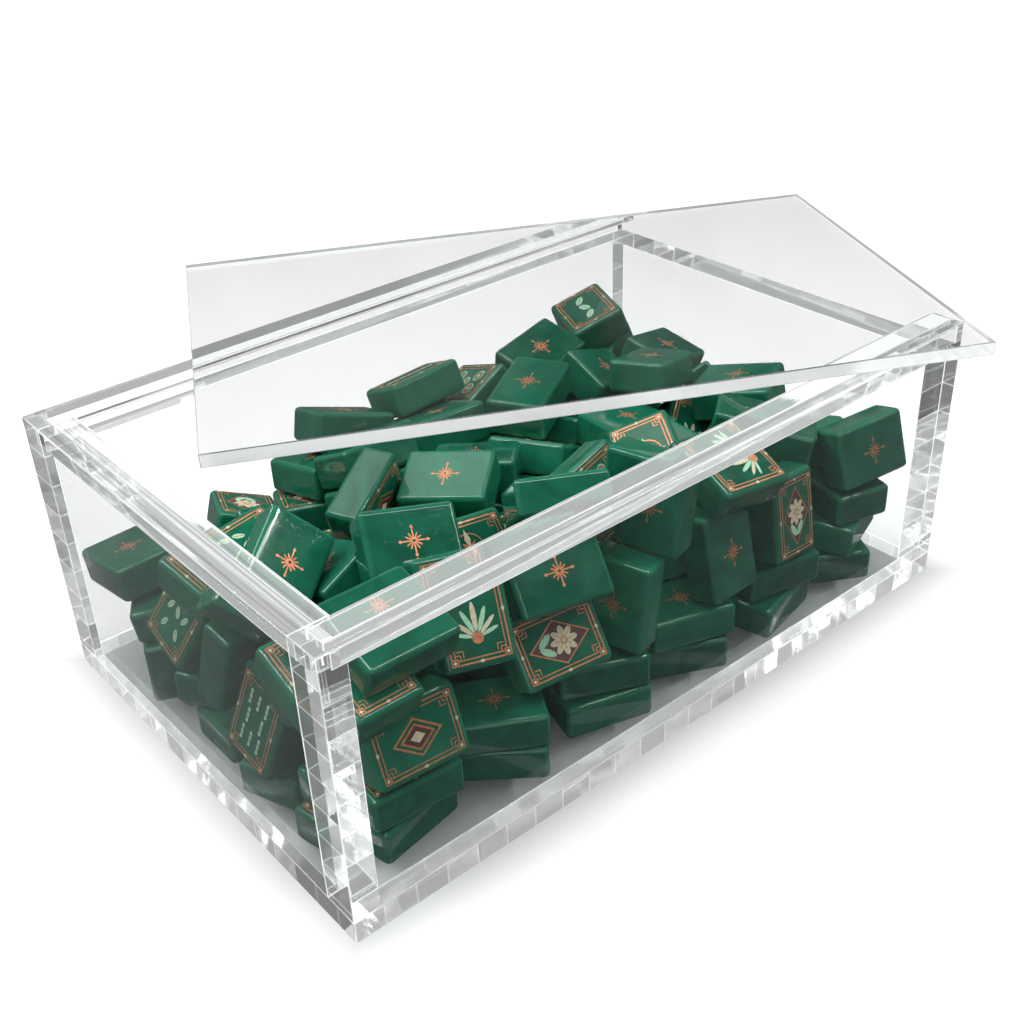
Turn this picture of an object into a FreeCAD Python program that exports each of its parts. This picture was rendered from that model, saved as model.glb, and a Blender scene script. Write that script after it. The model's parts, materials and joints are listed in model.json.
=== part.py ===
import FreeCAD, Part
import collections
import math
import os
import random
import Sketcher

# A clear storage box for a set of game tiles. Four thick walls stand on a base panel, a plain lid slides
# into grooves from the right end, and the tiles lie heaped inside with the lid laid askew on the rim.
# Millimetres, +Z up. The origin is the middle of the base's underside, X runs along the box from its left
# end to its right end, and Y runs from the front wall to the back wall.

SIZES = {
    "box_length": 262.0,
    "box_width": 170.0,
    "box_height": 98.0,
    "wall_thickness": 12.5,
    "base_thickness": 8.0,
    "lid_thickness": 4.8,
    "groove_depth": 7.0,
    "groove_lip": 2.6,
    "lid_clearance": 0.4,
    "lid_turn": -27.2,
    "lid_centre_x": 44.0,
    "lid_centre_y": 26.0,
    "tile_length": 30.0,
    "tile_width": 22.0,
    "tile_thickness": 12.0,
    "tile_edge_radius": 1.8,
    "tile_gap": 0.3,
    "heap_headroom": 14.0,
}

# Expressions that several pieces share
LEFT = "-Sizes.box_length / 2"
INNER_WIDTH = "(Sizes.box_width - 2 * Sizes.wall_thickness)"
WALL_HEIGHT = "(Sizes.box_height - Sizes.base_thickness)"
GROOVE_WEB = "(Sizes.wall_thickness - Sizes.groove_depth)"
GROOVE_HEIGHT = "(Sizes.lid_thickness + 2 * Sizes.lid_clearance)"
GROOVE_FLOOR = f"(Sizes.box_height - Sizes.groove_lip - {GROOVE_HEIGHT})"
LID_LENGTH = f"(Sizes.box_length - {GROOVE_WEB} - Sizes.lid_clearance)"
LID_WIDTH = f"(Sizes.box_width - 2 * ({GROOVE_WEB} + Sizes.lid_clearance))"

# The tile set: four copies of each design, and single flowers
SUITS = ("dot", "bamboo", "leaf")
RANKS = range(1, 10)
HONOURS = ("wind_east", "wind_south", "wind_west", "wind_north", "honour_red", "honour_green", "honour_plain")
COPIES = 4
FLOWERS = 4

# Tiles laid by hand, in order, once the box is filled to the share that is given. x and y are shares of the
# half length and half width inside the walls. A tile lies face up, is turned by spin about its face, leans
# with its face towards the front, and is then headed about Z. A loose one settles where it is laid.
Laid = collections.namedtuple("Laid", "design x y heading lean spin filled loose", defaults=(0, 0, 0.0, False))
HAND_LAID = (
    # Flat along the front wall
    Laid("dot_3_tiles", -0.84, -0.77, 10),
    Laid("leaf_2_tiles", -0.83, -0.80, -4),
    Laid("bamboo_2_tiles", -0.51, -0.83, -38),
    Laid("wind_east_tiles", -0.52, -0.80, -30),
    Laid("dot_6_tiles", -0.19, -0.83, -16),
    Laid("leaf_9_tiles", -0.18, -0.80, -24),
    Laid("bamboo_6_tiles", 0.13, -0.83, -25),
    Laid("dot_2_tiles", 0.14, -0.80, -18),
    Laid("leaf_4_tiles", 0.48, -0.83, 12),
    Laid("wind_south_tiles", 0.50, -0.80, -10),
    Laid("bamboo_1_tiles", 0.83, -0.80, 60),
    Laid("wind_west_tiles", 0.84, -0.77, 20),
    Laid("dot_5_tiles", 0.85, -0.76, 75),
    # Leaning on the front wall and the left end wall
    Laid("honour_red_tiles", -0.82, -0.90, -4, 68, 0),
    Laid("season_tiles", -0.35, -0.90, -12, 55, 4),
    Laid("leaf_5_tiles", -0.11, -0.86, -72, 82, 88),
    Laid("dot_8_tiles", 0.015, -0.86, -72, 82, 88),
    Laid("wind_north_tiles", 0.24, -1.0, 4, 76, 88),
    Laid("season_tiles", 0.50, -0.98, 6, 78, 84),
    Laid("dot_9_tiles", 0.90, -0.96, -8, 74, 2),
    Laid("bamboo_8_tiles", -1.0, -0.40, -88, 74, 80, 0.25),
    Laid("leaf_7_tiles", -1.0, 0.22, -84, 66, 70, 0.35),
    # On top, in the corner that the lid leaves open
    Laid("honour_green_tiles", -0.60, -0.86, -14, 58, 86, 0.5),
    Laid("wind_south_tiles", -0.33, -0.92, -16, 50, 2, 0.5),
    Laid("flower_1_tile", -0.84, -0.71, -52, 20, 40, 1.0, True),
    Laid("flower_2_tile", -0.56, -0.50, -34, 16, 20, 1.0, True),
    Laid("flower_3_tile", -0.86, -0.17, 30, 12, 10, 1.0, True),
    Laid("flower_4_tile", -0.26, -0.76, -30, 12, 10, 1.0, True),
)

# How the heap is poured, towards the low places that it leaves in one corner and along the right end
HEAP_SEED = 200
SPOTS_TRIED = 30
POUR_TRIES = 8
SETTLE_STEPS = 700
SLIDE_STEP = 8.0
TIP_STEP = 26.0
POUR_TILT = 20.0
LAID_SLIDE_STEP = 0.5
LAID_TIP_STEP = 10.0
Dip = collections.namedtuple("Dip", "x y spread depth")
HEAP_DIPS = (Dip(-1.0, 1.0, 0.9, 30.0), Dip(1.0, 0.2, 0.5, 30.0))

AXES = (FreeCAD.Vector(1, 0, 0), FreeCAD.Vector(0, 1, 0), FreeCAD.Vector(0, 0, 1))
LEVEL = 1e-6


def make_sheet(doc):
    """Puts the driving sizes in a spreadsheet, one alias to a cell."""
    sheet = doc.addObject("Spreadsheet::Sheet", "Sizes")
    for row, (alias, value) in enumerate(SIZES.items(), start=1):
        sheet.set(f"A{row}", alias)
        sheet.set(f"B{row}", str(value))
        sheet.setAlias(f"B{row}", alias)
    doc.recompute()
    return sheet


def block(doc, label, size, corner):
    """A box whose three sizes and lowest corner are tied to the sheet."""
    box = doc.addObject("Part::Box", label)
    box.Label = label
    for side, text in zip(("Length", "Width", "Height"), size):
        box.setExpression(side, text)
    for axis, text in zip("xyz", corner):
        box.setExpression(f"Placement.Base.{axis}", text)
    return box


def grooved(doc, label, panel, groove):
    """A wall panel with the lid's groove cut out of its inner face."""
    wall = doc.addObject("Part::Cut", label)
    wall.Base = panel
    wall.Tool = groove
    wall.Label = label
    return wall


def make_base(doc):
    """The full-size panel that the four walls stand on."""
    size = ("Sizes.box_length", "Sizes.box_width", "Sizes.base_thickness")
    return block(doc, "base_panel", size, (LEFT, "-Sizes.box_width / 2", "0"))


def make_long_wall(doc, label, panel_y, groove_y):
    """A front or back wall, full length, with a groove that runs out at the right end."""
    size = ("Sizes.box_length", "Sizes.wall_thickness", WALL_HEIGHT)
    panel = block(doc, f"{label}_panel", size, (LEFT, panel_y, "Sizes.base_thickness"))
    size = (f"Sizes.box_length - {GROOVE_WEB}", "Sizes.groove_depth", GROOVE_HEIGHT)
    groove = block(doc, f"{label}_groove", size, (f"{LEFT} + {GROOVE_WEB}", groove_y, GROOVE_FLOOR))
    return grooved(doc, label, panel, groove)


def make_left_end(doc):
    """The end wall between the long walls that stops the lid, with a groove for its edge."""
    front = f"-{INNER_WIDTH} / 2"
    size = ("Sizes.wall_thickness", INNER_WIDTH, WALL_HEIGHT)
    panel = block(doc, "left_end_panel", size, (LEFT, front, "Sizes.base_thickness"))
    size = ("Sizes.groove_depth", INNER_WIDTH, GROOVE_HEIGHT)
    groove = block(doc, "left_end_groove", size, (f"{LEFT} + {GROOVE_WEB}", front, GROOVE_FLOOR))
    return grooved(doc, "left_end_wall", panel, groove)


def make_right_end(doc):
    """The lower end wall, level with the groove's floor, that the lid slides in over."""
    size = ("Sizes.wall_thickness", INNER_WIDTH, f"{GROOVE_FLOOR} - Sizes.base_thickness")
    inner_x = "Sizes.box_length / 2 - Sizes.wall_thickness"
    return block(doc, "right_end_wall", size, (inner_x, f"-{INNER_WIDTH} / 2", "Sizes.base_thickness"))


def make_lid(doc):
    """The plain lid plate, turned about its middle and laid on the rim."""
    turn = "(Sizes.lid_turn * 1 deg)"
    along, across = f"{LID_LENGTH} / 2", f"{LID_WIDTH} / 2"
    corner = (
        f"Sizes.lid_centre_x - {along} * cos({turn}) + {across} * sin({turn})",
        f"Sizes.lid_centre_y - {along} * sin({turn}) - {across} * cos({turn})",
        "Sizes.box_height",
    )
    lid = block(doc, "lid", (LID_LENGTH, LID_WIDTH, "Sizes.lid_thickness"), corner)
    lid.Placement = FreeCAD.Placement(lid.Placement.Base, FreeCAD.Rotation(AXES[2], 1))
    lid.setExpression("Placement.Rotation.Angle", turn)
    return lid


def make_tile_pattern(doc):
    """One tile about its own centre, long side along X, with every edge rounded alike."""
    body = doc.addObject("PartDesign::Body", "tile_pattern")
    sketch = body.newObject("Sketcher::SketchObject", "tile_outline")
    plane = next(feature for feature in body.Origin.OriginFeatures if feature.Role == "XY_Plane")
    sketch.AttachmentSupport = (plane, "")
    sketch.MapMode = "FlatFace"
    sketch.setExpression("AttachmentOffset.Base.z", "-Sizes.tile_thickness / 2")
    half_x, half_y = SIZES["tile_length"] / 2, SIZES["tile_width"] / 2
    signs = ((-1, -1), (1, -1), (1, 1), (-1, 1))
    corners = [FreeCAD.Vector(x * half_x, y * half_y, 0) for x, y in signs]
    for start, end in zip(corners, corners[1:] + corners[:1]):
        sketch.addGeometry(Part.LineSegment(start, end))
    for side in range(4):
        sketch.addConstraint(Sketcher.Constraint("Coincident", side, 2, (side + 1) % 4, 1))
        sketch.addConstraint(Sketcher.Constraint("Vertical" if side % 2 else "Horizontal", side))
    sketch.addConstraint(Sketcher.Constraint("Symmetric", 0, 1, 2, 1, -1, 1))
    for name, kind, side in (("length", "DistanceX", 0), ("width", "DistanceY", 1)):
        index = sketch.addConstraint(Sketcher.Constraint(kind, side, 1, side, 2, SIZES[f"tile_{name}"]))
        sketch.renameConstraint(index, name)
        sketch.setExpression(f"Constraints.{name}", f"Sizes.tile_{name}")
    pad = body.newObject("PartDesign::Pad", "tile_block")
    pad.Profile = sketch
    pad.setExpression("Length", "Sizes.tile_thickness")
    doc.recompute()
    rounding = body.newObject("PartDesign::Fillet", "tile_rounding")
    rounding.Base = (pad, ["Edge1"])
    rounding.UseAllEdges = True
    rounding.setExpression("Radius", "Sizes.tile_edge_radius")
    doc.recompute()
    return body


def dot(a, b):
    """Scalar product of two triples."""
    return a[0] * b[0] + a[1] * b[1] + a[2] * b[2]


def cross(a, b):
    """Vector product of two triples."""
    return a[1] * b[2] - a[2] * b[1], a[2] * b[0] - a[0] * b[2], a[0] * b[1] - a[1] * b[0]


class HeapTile:
    """A tile's place in the heap. Its edge radius surrounds a core block, given by half sizes."""

    def __init__(self, core, radius, x, y, turn):
        self.core = core
        self.radius = radius
        self.x, self.y, self.z = x, y, 0.0
        self.turn = turn
        self.axes = [tuple(turn.multVec(axis)) for axis in AXES]
        spread = [[half * abs(part) for part in own] for half, own in zip(core, self.axes)]
        self.reach = [radius + sum(parts) for parts in zip(*spread)]

    def top(self):
        """Height of the tile's highest point."""
        return self.z + self.reach[2]

    def nudged(self, rng, slide, tip):
        """A copy that has slid and tipped a little at random."""
        spin = FreeCAD.Vector(rng.gauss(0, 1), rng.gauss(0, 1), rng.gauss(0, 1))
        tipped = FreeCAD.Rotation(spin, rng.gauss(0, tip))
        x, y = self.x + rng.gauss(0, slide), self.y + rng.gauss(0, slide)
        return HeapTile(self.core, self.radius, x, y, tipped.multiply(self.turn))

    def meeting_axes(self, other, pad):
        """The axes that can part two tiles, each with the room that both take up along it."""
        core = self.core
        slant = [[abs(dot(a, b)) for b in other.axes] for a in self.axes]
        for i in range(3):
            yield self.axes[i], pad + core[i] + dot(core, slant[i])
            yield other.axes[i], pad + core[i] + dot(core, [row[i] for row in slant])
        for i in range(3):
            for j in range(3):
                axis = cross(self.axes[i], other.axes[j])
                room = core[i - 2] * slant[i - 1][j] + core[i - 1] * slant[i - 2][j]
                room += core[j - 2] * slant[i][j - 1] + core[j - 1] * slant[i][j - 2]
                yield axis, room + pad * math.hypot(*axis)

    def rise_over(self, other, gap):
        """Least height of this centre over the other's that keeps the gap, or None if they never meet."""
        dx, dy = self.x - other.x, self.y - other.y
        low, high = -math.inf, math.inf
        for axis, room in self.meeting_axes(other, self.radius + other.radius + gap):
            across = axis[0] * dx + axis[1] * dy
            steep = abs(axis[2])
            if steep < LEVEL:
                if abs(across) >= room > LEVEL:
                    return None
                continue
            middle = -across / axis[2]
            low, high = max(low, middle - room / steep), min(high, middle + room / steep)
            if low >= high:
                return None
        return high


class Heap:
    """Tiles put into the box one by one, each dropped straight down, and the poured ones left to settle."""

    def __init__(self, sheet):
        self.radius = sheet.tile_edge_radius
        sides = (sheet.tile_length, sheet.tile_width, sheet.tile_thickness)
        self.core = [side / 2 - self.radius for side in sides]
        self.span = math.hypot(*sides)
        self.gap = sheet.tile_gap
        self.floor = sheet.base_thickness
        self.half_x = sheet.box_length / 2 - sheet.wall_thickness
        self.half_y = sheet.box_width / 2 - sheet.wall_thickness
        self.rim = sheet.box_height - sheet.tile_gap
        self.ceiling = sheet.box_height - sheet.heap_headroom
        self.rng = random.Random(HEAP_SEED)
        self.tiles = []

    def tile(self, x, y, turn):
        """A tile over a spot given in shares of the inside half length and half width."""
        return self.drop(HeapTile(self.core, self.radius, x * self.half_x, y * self.half_y, turn))

    def drop(self, tile, limit=math.inf):
        """Moves a tile inside the walls and straight down until it lands, or is stopped above a limit."""
        room_x = self.half_x - tile.reach[0] - self.gap
        room_y = self.half_y - tile.reach[1] - self.gap
        tile.x = min(max(tile.x, -room_x), room_x)
        tile.y = min(max(tile.y, -room_y), room_y)
        tile.z = self.floor + self.gap + tile.reach[2]
        for other in self.tiles:
            if tile.z > limit or other.top() + self.gap + tile.reach[2] <= tile.z:
                break
            if math.hypot(tile.x - other.x, tile.y - other.y) < self.span:
                rise = tile.rise_over(other, self.gap)
                if rise is not None:
                    tile.z = max(tile.z, other.z + rise)
        return tile

    def settled(self, tile, slide, tip):
        """The tile after it slides and tips in ever smaller moves, each of which lowers its centre."""
        for step in range(SETTLE_STEPS):
            looseness = 1 - step / SETTLE_STEPS
            moved = self.drop(tile.nudged(self.rng, slide * looseness, tip * looseness), tile.z)
            if moved.z < tile.z:
                tile = moved
        return tile

    def height_wanted(self, tile):
        """How high a tile lies, counted higher where the heap is left low."""
        high = tile.z
        for dip in HEAP_DIPS:
            away = math.hypot(tile.x / self.half_x - dip.x, tile.y / self.half_y - dip.y)
            high += dip.depth * max(0.0, 1 - away / dip.spread)
        return high

    def poured(self):
        """A tile let fall at the best of a few random spots, tilted at random."""
        landed = []
        for _ in range(SPOTS_TRIED):
            x, y = self.rng.uniform(-1, 1), self.rng.uniform(-1, 1)
            heading = FreeCAD.Rotation(AXES[2], self.rng.uniform(0, 360))
            tilts = [FreeCAD.Rotation(axis, self.rng.gauss(0, POUR_TILT)) for axis in AXES[:2]]
            landed.append(self.tile(x, y, heading.multiply(tilts[0]).multiply(tilts[1])))
        return self.settled(min(landed, key=self.height_wanted), SLIDE_STEP, TIP_STEP)

    def keep(self, tile):
        """Adds a tile, with the highest first, so that a falling tile meets the high ones first."""
        self.tiles.append(tile)
        self.tiles.sort(key=HeapTile.top, reverse=True)
        return tile

    def pour(self, ceiling):
        """Adds one poured tile that stays under the ceiling, or gives None once the box is full."""
        for _ in range(POUR_TRIES):
            tile = self.poured()
            if tile.top() < ceiling:
                return self.keep(tile)
        return None

    def lay(self, laid):
        """Adds one tile by hand, as its entry places and turns it, or pours it if it would reach the lid."""
        turns = zip((AXES[2], AXES[0], AXES[2]), (laid.heading, laid.lean, laid.spin))
        turn = FreeCAD.Rotation()
        for axis, angle in turns:
            turn = turn.multiply(FreeCAD.Rotation(axis, angle))
        tile = self.tile(laid.x, laid.y, turn)
        if laid.loose:
            tile = self.settled(tile, LAID_SLIDE_STEP, LAID_TIP_STEP)
        return self.keep(tile) if tile.top() < self.rim else self.pour(self.rim)


def tile_designs():
    """The name of each tile node and how many tiles it holds."""
    groups = [f"{suit}_{rank}" for suit in SUITS for rank in RANKS] + [*HONOURS, "season"]
    designs = {f"{group}_tiles": COPIES for group in groups}
    designs.update({f"flower_{rank}_tile": 1 for rank in range(1, FLOWERS + 1)})
    return designs


def poured_designs(rng):
    """The designs that are not laid by hand, mixed so that no copy comes before each design had its turn."""
    left = collections.Counter(tile_designs())
    left.subtract(laid.design for laid in HAND_LAID)
    order = []
    for copy in range(COPIES, 0, -1):
        turn = [design for design, count in left.items() if count >= copy]
        rng.shuffle(turn)
        order += turn
    return order


def heap_tiles(sheet):
    """Fills the box, and gives each tile with its design. Each turn has its own random draws."""
    heap = Heap(sheet)
    designs = poured_designs(heap.rng)
    placed = []
    for count, design in enumerate([*designs, None]):
        heap.rng.seed(HEAP_SEED + count)
        for laid in HAND_LAID:
            if round(laid.filled * len(designs)) == count:
                placed.append((laid.design, heap.lay(laid)))
        if design:
            placed.append((design, heap.pour(heap.ceiling)))
    placed = [(design, tile) for design, tile in placed if tile]
    print(f"{len(placed)} tiles, the highest reaching {max(tile.top() for _, tile in placed):.1f}")
    return placed


def make_tiles(doc, sheet, pattern):
    """Copies the tile to each place in the heap, with one node for each design."""
    solids = collections.defaultdict(list)
    for name, tile in heap_tiles(sheet):
        solid = pattern.Shape.copy()
        solid.Placement = FreeCAD.Placement(FreeCAD.Vector(tile.x, tile.y, tile.z), tile.turn)
        solids[name].append(solid)
    nodes = []
    for name, shapes in solids.items():
        node = doc.addObject("Part::Feature", name)
        node.Label = name
        node.Shape = Part.makeCompound(shapes) if len(shapes) > 1 else shapes[0]
        nodes.append(node)
    return nodes


def check(doc, nodes):
    """Stops before anything is written if an object failed or a piece is not a sound solid."""
    for thing in doc.Objects:
        if {"Invalid", "Error"} & set(thing.State):
            raise RuntimeError(f"{thing.Label} did not build: {thing.State}")
    for node in nodes:
        if node.Shape.isNull() or not node.Shape.isValid() or not node.Shape.Solids:
            raise RuntimeError(f"{node.Label} has no sound solid")


def main():
    """Builds the box, its lid and its tiles, and writes one file for each piece."""
    doc = FreeCAD.newDocument("tile_box")
    sheet = make_sheet(doc)
    nodes = [
        make_base(doc),
        make_long_wall(doc, "front_wall", "-Sizes.box_width / 2", f"-{INNER_WIDTH} / 2 - Sizes.groove_depth"),
        make_long_wall(doc, "back_wall", f"{INNER_WIDTH} / 2", f"{INNER_WIDTH} / 2"),
        make_left_end(doc),
        make_right_end(doc),
        make_lid(doc),
    ]
    pattern = make_tile_pattern(doc)
    doc.recompute()
    nodes += make_tiles(doc, sheet, pattern)
    doc.recompute()
    check(doc, nodes)
    os.makedirs("parts", exist_ok=True)
    for node in nodes:
        node.Shape.exportStep(f"parts/{node.Label}.step")


main()
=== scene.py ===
import functools
import json
import logging
import math
import random
from collections.abc import Callable, Iterator
from dataclasses import dataclass, field
from enum import Enum, IntEnum

import bmesh
import bpy
from mathutils import Matrix, Vector


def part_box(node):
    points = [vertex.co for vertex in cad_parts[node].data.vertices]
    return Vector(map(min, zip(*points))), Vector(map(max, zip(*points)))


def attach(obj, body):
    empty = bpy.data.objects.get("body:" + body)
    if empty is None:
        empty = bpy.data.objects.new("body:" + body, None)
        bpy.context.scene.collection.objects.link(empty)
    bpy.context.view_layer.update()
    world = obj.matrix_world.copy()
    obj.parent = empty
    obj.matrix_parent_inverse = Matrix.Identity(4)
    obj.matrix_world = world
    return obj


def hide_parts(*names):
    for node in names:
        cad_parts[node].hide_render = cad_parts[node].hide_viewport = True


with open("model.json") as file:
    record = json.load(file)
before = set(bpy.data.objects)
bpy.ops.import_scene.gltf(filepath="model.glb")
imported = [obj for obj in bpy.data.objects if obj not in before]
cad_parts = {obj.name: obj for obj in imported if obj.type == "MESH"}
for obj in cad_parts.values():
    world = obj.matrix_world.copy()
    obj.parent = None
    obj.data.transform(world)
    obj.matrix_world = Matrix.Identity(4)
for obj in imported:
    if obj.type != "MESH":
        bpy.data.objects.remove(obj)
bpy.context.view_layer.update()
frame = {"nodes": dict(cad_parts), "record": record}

# The clear box, its loose lid and the heaped game tiles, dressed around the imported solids. Metres, +Z up.
MM = 0.001
MERGE = 1e-6
FLAT_ANGLE = math.radians(0.4)
LOG = logging.getLogger("tile_box")

Socket = bpy.types.NodeSocket
Value = float | tuple[float, ...] | Socket


class NodeTree:
    """A shader or world tree that takes nodes with their settings and links in one call."""

    def __init__(self, tree: bpy.types.NodeTree) -> None:
        """Starts from an empty tree.

        Args:
            tree: The tree to fill.
        """
        self.tree = tree
        tree.nodes.clear()

    def add(self, kind: str, inputs: dict[str | int, Value] | None = None, **settings: object) -> bpy.types.Node:
        """Adds one node.

        Args:
            kind: The node's type name, without the common prefix.
            inputs: A value or another node's socket for each named or numbered input.
            settings: The node's own properties.

        Returns:
            The new node.
        """
        node = self.tree.nodes.new(kind if kind.startswith("Node") else f"ShaderNode{kind}")
        for name, value in settings.items():
            setattr(node, name, value)
        for key, value in (inputs or {}).items():
            if isinstance(value, Socket):
                self.tree.links.new(value, node.inputs[key])
            else:
                node.inputs[key].default_value = value
        return node

    def ramp(self, factor: Socket, low: float, high: float, dark: float = 0.0, light: float = 1.0) -> Socket:
        """Maps a stretch of a value to a new one, smoothly.

        Args:
            factor: The value to map.
            low: Where the stretch starts.
            high: Where the stretch ends.
            dark: What low becomes.
            light: What high becomes.

        Returns:
            The mapped value.
        """
        inputs = {"Value": factor, "From Min": low, "From Max": high, "To Min": dark, "To Max": light}
        return self.add("MapRange", inputs, interpolation_type="SMOOTHSTEP").outputs[0]

    def math(self, operation: str, first: Value, second: Value = 0.0) -> Socket:
        """Joins two values by one operation.

        Args:
            operation: The math node's operation.
            first: The first value.
            second: The second value.

        Returns:
            The result.
        """
        return self.add("Math", {0: first, 1: second}, operation=operation).outputs[0]

    def mix(self, factor: Value, first: Value, second: Value) -> Socket:
        """Mixes two colours.

        Args:
            factor: How much of the second colour shows.
            first: The first colour.
            second: The second colour.

        Returns:
            The mixed colour.
        """
        node = self.add("Mix", {"Factor": factor, 6: first, 7: second}, data_type="RGBA")
        return node.outputs[2]


def rgba(colour: tuple[float, float, float]) -> tuple[float, float, float, float]:
    """A colour with full alpha."""
    return (*colour, 1.0)


def start_group(name: str, inputs: dict[str, float], outputs: dict[str, str]) -> tuple[NodeTree, bpy.types.Node]:
    """Makes a shader node group with its sockets.

    Args:
        name: The group's name.
        inputs: The name and default of each number that goes in.
        outputs: The name and kind of each socket that comes out.

    Returns:
        The group's tree and its input node.
    """
    tree = bpy.data.node_groups.new(name, "ShaderNodeTree")
    for socket, default in inputs.items():
        made = tree.interface.new_socket(socket, in_out="INPUT", socket_type="NodeSocketFloat")
        made.default_value = default
    for socket, kind in outputs.items():
        tree.interface.new_socket(socket, in_out="OUTPUT", socket_type=f"NodeSocket{kind}")
    nodes = NodeTree(tree)
    return nodes, nodes.add("NodeGroupInput")


@functools.cache
def handling_marks() -> bpy.types.NodeTree:
    """The smudges and fine scratches that hands leave on every polished surface.

    Returns:
        A group with a smudge mask and a scratch height.
    """
    nodes, given = start_group("handling_marks", {"Smudge Size": 30.0, "Scratch Size": 60.0},
                               {"Smudge": "Float", "Scratch": "Float"})
    place = nodes.add("TexCoord").outputs["Object"]
    cloud = nodes.add("TexNoise", {"Vector": place, "Scale": given.outputs["Smudge Size"], "Detail": 4.0,
                                   "Roughness": 0.6})
    smudge = nodes.ramp(cloud.outputs[0], 0.46, 0.72)
    lines = None
    for turn, stretch in ((0.5, (1.0, 26.0, 26.0)), (2.1, (24.0, 1.0, 24.0))):
        tilt = nodes.add("Mapping", {"Vector": place, "Rotation": (turn, turn * 0.7, turn), "Scale": stretch})
        hair = nodes.add("TexNoise", {"Vector": tilt.outputs[0], "Scale": given.outputs["Scratch Size"],
                                      "Detail": 2.0})
        line = nodes.ramp(hair.outputs[0], 0.66, 0.72)
        lines = line if lines is None else nodes.math("MAXIMUM", lines, line)
    nodes.add("NodeGroupOutput", {"Smudge": smudge, "Scratch": lines})
    return nodes.tree


@functools.cache
def drifting_tone() -> bpy.types.NodeTree:
    """The slow drift of tone inside cast resin and brushed-on ink.

    Returns:
        A group with a tone from zero to one.
    """
    nodes, given = start_group("drifting_tone", {"Size": 90.0, "Swirl": 1.5}, {"Tone": "Float"})
    place = nodes.add("TexCoord").outputs["Object"]
    noise = nodes.add("TexNoise", {"Vector": place, "Scale": given.outputs["Size"], "Detail": 5.0,
                                   "Distortion": given.outputs["Swirl"]})
    nodes.add("NodeGroupOutput", {"Tone": nodes.ramp(noise.outputs[0], 0.3, 0.7)})
    return nodes.tree


@dataclass(frozen=True)
class Finish:
    """A surface finish that is made into one material.

    Args:
        name: The material's name.
    """

    name: str

    @functools.cache
    def material(self) -> bpy.types.Material:
        """Makes the finish's material, once.

        Returns:
            The material.
        """
        made = bpy.data.materials.new(self.name)
        made.use_nodes = True
        nodes = NodeTree(made.node_tree)
        nodes.add("OutputMaterial", {"Surface": self.surface(nodes)})
        return made

    def surface(self, nodes: NodeTree) -> Socket:
        """Builds the shader.

        Args:
            nodes: The material's tree.

        Returns:
            The shader that covers the surface.
        """
        raise NotImplementedError


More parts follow.
